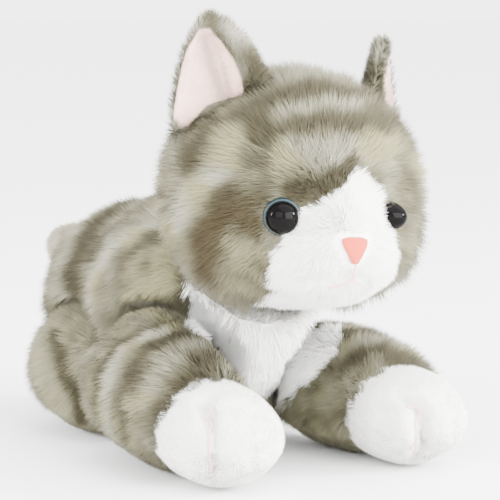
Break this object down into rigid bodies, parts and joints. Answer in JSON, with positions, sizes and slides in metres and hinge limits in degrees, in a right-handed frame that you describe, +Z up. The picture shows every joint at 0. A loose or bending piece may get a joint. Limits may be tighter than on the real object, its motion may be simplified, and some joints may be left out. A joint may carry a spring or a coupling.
{
  "type": "plush cat",
  "caption": "Tabby kitten plush lying on its belly: plush skins over stuffing, safety eyes, stitched nose and mouth, with turning head, legs, ears and tail.",
  "frame": {"origin": "centre of the flat belly where the kitten rests, on the supporting surface", "axes": "+Z up, -Y the way the kitten's body faces, +X the kitten's left side"},
  "size_m": [0.1341, 0.2584, 0.1807],
  "materials": {
    "tabby_plush": "long tabby plush pile",
    "white_plush": "short white plush pile",
    "ear_lining": "short velour, pale pink",
    "stuffing": "polyester fibre",
    "pellets": "cotton pouch of plastic pellets",
    "pupil": "polished black",
    "iris": "polished teal",
    "washer": "moulded",
    "nose_flock": "salmon pink satin stitch",
    "thread": "pink cotton thread"
  },
  "bodies": {
    "torso": {"torso_skin_right": "tabby_plush", "torso_skin_left": "tabby_plush", "belly_panel": "tabby_plush", "chest_bib": "white_plush", "torso_stuffing": "stuffing", "pellet_pouch": "pellets"},
    "neck": {"neck_collar": "tabby_plush"},
    "head": {"head_skin_right": "tabby_plush", "head_skin_left": "tabby_plush", "head_gusset": "tabby_plush", "face_panel": "white_plush", "chin_panel": "white_plush", "head_stuffing": "stuffing", "muzzle_stuffing": "stuffing", "eye_dome_right": "pupil", "eye_rim_right": "iris", "eye_washer_right": "washer", "eye_dome_left": "pupil", "eye_rim_left": "iris", "eye_washer_left": "washer", "nose": "nose_flock", "mouth_stitch": "thread"},
    "ear_right": {"ear_back_right": "tabby_plush", "ear_lining_right": "ear_lining"},
    "ear_left": {"ear_back_left": "tabby_plush", "ear_lining_left": "ear_lining"},
    "shoulder_right": {"shoulder_knob_right": "stuffing"},
    "front_leg_right": {"front_sleeve_right": "tabby_plush", "front_paw_right": "white_plush", "front_stuffing_right": "stuffing", "toe_stitch_right": "thread"},
    "shoulder_left": {"shoulder_knob_left": "stuffing"},
    "front_leg_left": {"front_sleeve_left": "tabby_plush", "front_paw_left": "white_plush", "front_stuffing_left": "stuffing", "toe_stitch_left": "thread"},
    "hind_leg_right": {"hind_sleeve_right": "tabby_plush", "hind_paw_right": "white_plush", "hind_stuffing_right": "stuffing"},
    "hind_leg_left": {"hind_sleeve_left": "tabby_plush", "hind_paw_left": "white_plush", "hind_stuffing_left": "stuffing"},
    "tail": {"tail_skin": "tabby_plush", "tail_stuffing": "stuffing"}
  },
  "joints": [
    {"name": "neck_turn", "type": "hinge", "parent": "torso", "child": "neck", "pos_m": [0.0015, -0.063, 0.111], "axis": [0, 0, 1], "range_deg": [-24, 24], "stiffness_Nm_per_rad": 0.25},
    {"name": "neck_nod", "type": "hinge", "parent": "neck", "child": "head", "pos_m": [0.0015, -0.063, 0.111], "axis": [-1, 0, 0], "range_deg": [-10, 8], "stiffness_Nm_per_rad": 0.9},
    {"name": "ear_fold_right", "type": "hinge", "parent": "head", "child": "ear_right", "pos_m": [-0.02907, -0.05832, 0.14316], "axis": [0.788, -0.3872, 0.4787], "range_deg": [-14, 18], "stiffness_Nm_per_rad": 0.012},
    {"name": "ear_fold_left", "type": "hinge", "parent": "head", "child": "ear_left", "pos_m": [0.03717, -0.06261, 0.13868], "axis": [0.6446, 0.4957, -0.5821], "range_deg": [-14, 18], "stiffness_Nm_per_rad": 0.012},
    {"name": "shoulder_spread_right", "type": "hinge", "parent": "torso", "child": "shoulder_right", "pos_m": [-0.038, -0.02, 0.033], "axis": [0, 0, -1], "range_deg": [-6, 14], "stiffness_Nm_per_rad": 0.2},
    {"name": "shoulder_lift_right", "type": "hinge", "parent": "shoulder_right", "child": "front_leg_right", "pos_m": [-0.038, -0.02, 0.033], "axis": [-1, 0, 0], "range_deg": [0, 22], "stiffness_Nm_per_rad": 0.3},
    {"name": "shoulder_spread_left", "type": "hinge", "parent": "torso", "child": "shoulder_left", "pos_m": [0.038, -0.024, 0.028], "axis": [0, 0, 1], "range_deg": [-6, 14], "stiffness_Nm_per_rad": 0.2},
    {"name": "shoulder_lift_left", "type": "hinge", "parent": "shoulder_left", "child": "front_leg_left", "pos_m": [0.038, -0.024, 0.028], "axis": [-1, 0, 0], "range_deg": [0, 22], "stiffness_Nm_per_rad": 0.3},
    {"name": "hip_spread_right", "type": "hinge", "parent": "torso", "child": "hind_leg_right", "pos_m": [-0.034, 0.046, 0.028], "axis": [0, 0, -1], "range_deg": [-4, 12], "stiffness_Nm_per_rad": 0.2},
    {"name": "hip_spread_left", "type": "hinge", "parent": "torso", "child": "hind_leg_left", "pos_m": [0.034, 0.046, 0.028], "axis": [0, 0, 1], "range_deg": [-4, 12], "stiffness_Nm_per_rad": 0.2},
    {"name": "tail_swing", "type": "hinge", "parent": "torso", "child": "tail", "pos_m": [-0.002, 0.097, 0.065], "axis": [0, 0, 1], "range_deg": [-22, 22], "stiffness_Nm_per_rad": 0.03}
  ]
}
